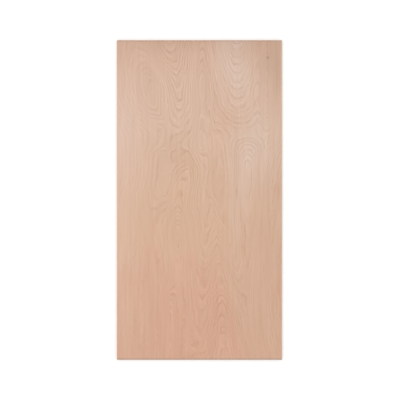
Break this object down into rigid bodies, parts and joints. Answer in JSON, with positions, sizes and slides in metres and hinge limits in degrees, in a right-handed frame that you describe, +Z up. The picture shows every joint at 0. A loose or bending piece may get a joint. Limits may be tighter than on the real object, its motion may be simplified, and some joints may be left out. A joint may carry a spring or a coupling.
{
  "type": "plywood sheet",
  "caption": "Full sheet of hardwood-faced plywood, flat and rectangular with square-sawn edges, for cutting into panels, boxes, furniture or flooring.",
  "frame": {"origin": "middle of the underside, at the level of the floor that the sheet lies on", "axes": "+Y along the length and the face grain, +X across the width, +Z up through the thickness to the good face"},
  "size_m": [1.22, 2.44, 0.018],
  "materials": {
    "birch_plywood": "sanded, unsealed, faint satin"
  },
  "bodies": {
    "root": {"plywood_sheet": "birch_plywood"}
  },
  "joints": []
}
